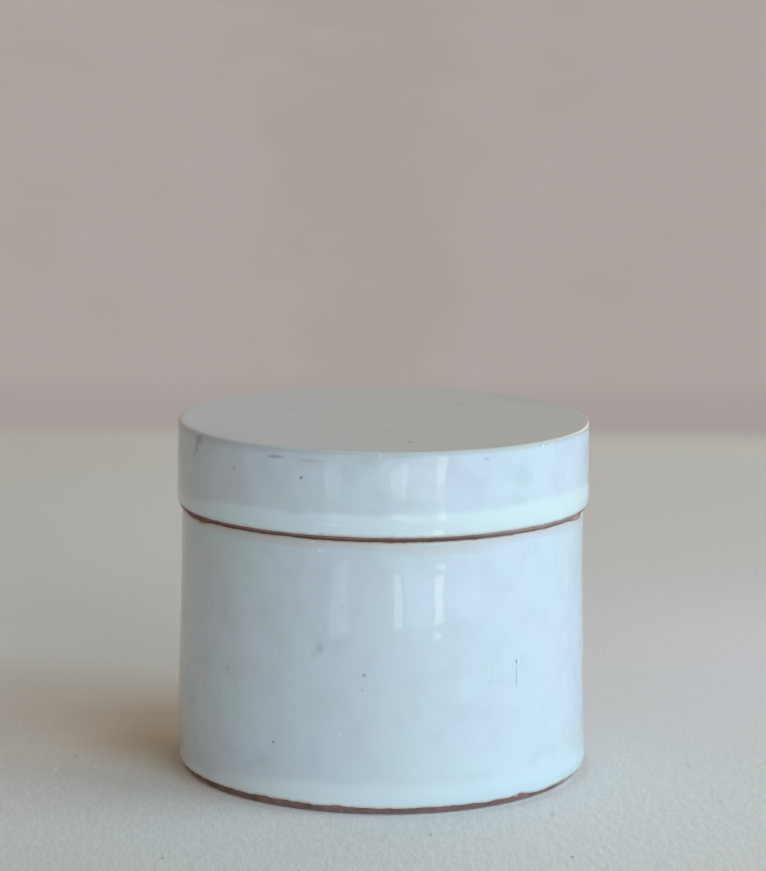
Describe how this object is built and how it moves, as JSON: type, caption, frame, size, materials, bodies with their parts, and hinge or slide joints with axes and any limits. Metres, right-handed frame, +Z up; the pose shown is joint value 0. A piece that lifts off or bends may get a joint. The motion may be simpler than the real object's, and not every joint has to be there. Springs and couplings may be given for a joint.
{
  "type": "lidded jar",
  "caption": "Squat thrown ceramic jar with a flat cap lid that drops over a collar and lifts off; pale glossy glaze over red clay, bare at the foot and the seam.",
  "frame": {"origin": "centre of the foot, on the surface that the jar stands on", "axes": "+Z up along the jar's axis; -Y is the side that the picture shows, with +X to its right"},
  "size_m": [0.0924, 0.0924, 0.079],
  "materials": {
    "red_clay": "matte",
    "white_glaze": "gloss",
    "liner_glaze": "gloss"
  },
  "bodies": {
    "jar": {"jar_body": "red_clay", "jar_outer_glaze": "white_glaze", "jar_inner_glaze": "liner_glaze"},
    "lid": {"lid_body": "red_clay", "lid_outer_glaze": "white_glaze", "lid_inner_glaze": "liner_glaze"}
  },
  "joints": [
    {"name": "lid_lift", "type": "slide", "parent": "jar", "child": "lid", "axis": [0, 0, 1], "range_m": [0, 0.09]}
  ]
}
